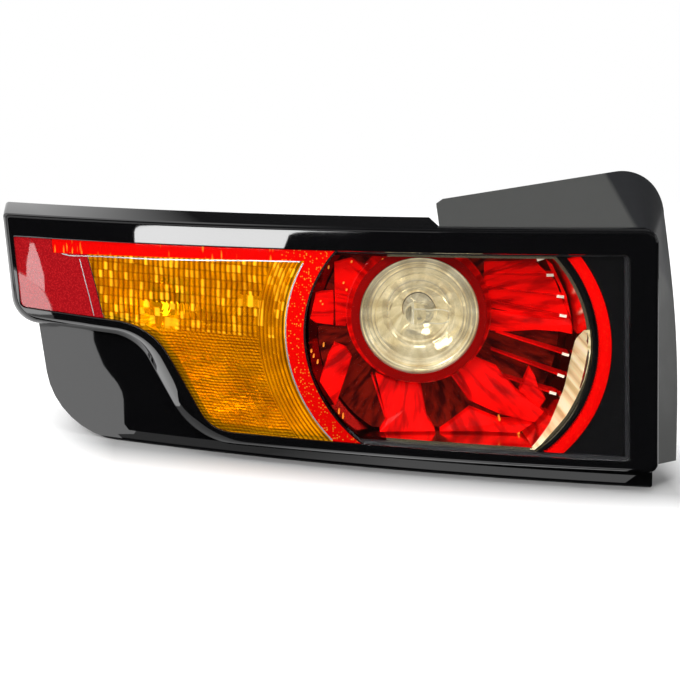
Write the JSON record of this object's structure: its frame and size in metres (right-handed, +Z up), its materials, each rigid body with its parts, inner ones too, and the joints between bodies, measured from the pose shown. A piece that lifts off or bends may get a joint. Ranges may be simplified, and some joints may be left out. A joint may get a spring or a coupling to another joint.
{
  "type": "tail light cluster",
  "caption": "Swept rear lamp cluster with a gloss bezel, red tail strip, amber turn lens and a round stop lamp around a clear reverse lamp, with bulbs, connector and rear fixings.",
  "frame": {"origin": "centre of the bounding box in plan, at the level of the flat base that the lower panel stands on", "axes": "+X inboard across the car, +Y forward into the car body (the lens faces -Y), +Z up"},
  "size_m": [0.4318, 0.257, 0.1909],
  "materials": {
    "gloss_black": "high gloss piano-black moulding",
    "panel_black": "high gloss black moulding",
    "matt_black": "fine grained matt black moulding",
    "clear_lens": "clear polished lens plastic",
    "amber_lens": "transparent amber lens plastic with optics on its back",
    "red_lens": "transparent red lens plastic with optics on its back",
    "reflex_red": "dark red reflex plastic with a honeycomb of prisms",
    "housing_plastic": "plain dark grey moulding",
    "seal_foam": "closed-cell foam strip",
    "red_guide": "red light guide with knurled edges",
    "mirror_coat": "vacuum-metallised reflector",
    "red_filter": "transparent red filter plastic",
    "dark_red": "dark red moulding",
    "reverse_lens": "clear lens with a stepped crown",
    "white_plastic": "white light box",
    "board": "green lacquered circuit board",
    "led": "white packages with a yellow phosphor face",
    "amber_glass": "amber-tinted bulb glass",
    "bulb_glass": "clear bulb glass",
    "plated_metal": "nickel-plated metal",
    "holder_plastic": "black glass-filled moulding",
    "seal_rubber": "moulded rubber",
    "zinc_steel": "zinc-plated steel"
  },
  "bodies": {
    "root": {"front_bezel": "gloss_black", "lower_panel": "panel_black", "aperture_trim": "matt_black", "outer_lens": "clear_lens", "turn_lens": "amber_lens", "tail_strip_lens": "red_lens", "reflex_reflector": "reflex_red", "rear_housing": "housing_plastic", "body_seal": "seal_foam", "inner_bezel": "gloss_black", "ring_light_guide": "red_guide", "dish_reflector": "mirror_coat", "red_filter": "red_filter", "reverse_collar": "dark_red", "reverse_lens": "reverse_lens", "reverse_reflector": "mirror_coat", "turn_reflector": "mirror_coat", "strip_light_box": "white_plastic", "tail_led_board": "board", "tail_leds": "led", "turn_bulb_glass": "amber_glass", "turn_bulb_cap": "plated_metal", "turn_bulb_holder": "holder_plastic", "stop_bulb_glass": "bulb_glass", "stop_bulb_cap": "plated_metal", "stop_bulb_holder": "holder_plastic", "reverse_bulb": "bulb_glass", "reverse_bulb_filament": "plated_metal", "reverse_bulb_holder": "holder_plastic", "holder_seals": "seal_rubber", "connector_socket": "holder_plastic", "connector_pins": "plated_metal", "mounting_studs": "zinc_steel", "locating_pin": "holder_plastic", "dish_screws": "zinc_steel", "breather_caps": "seal_rubber"}
  },
  "joints": []
}
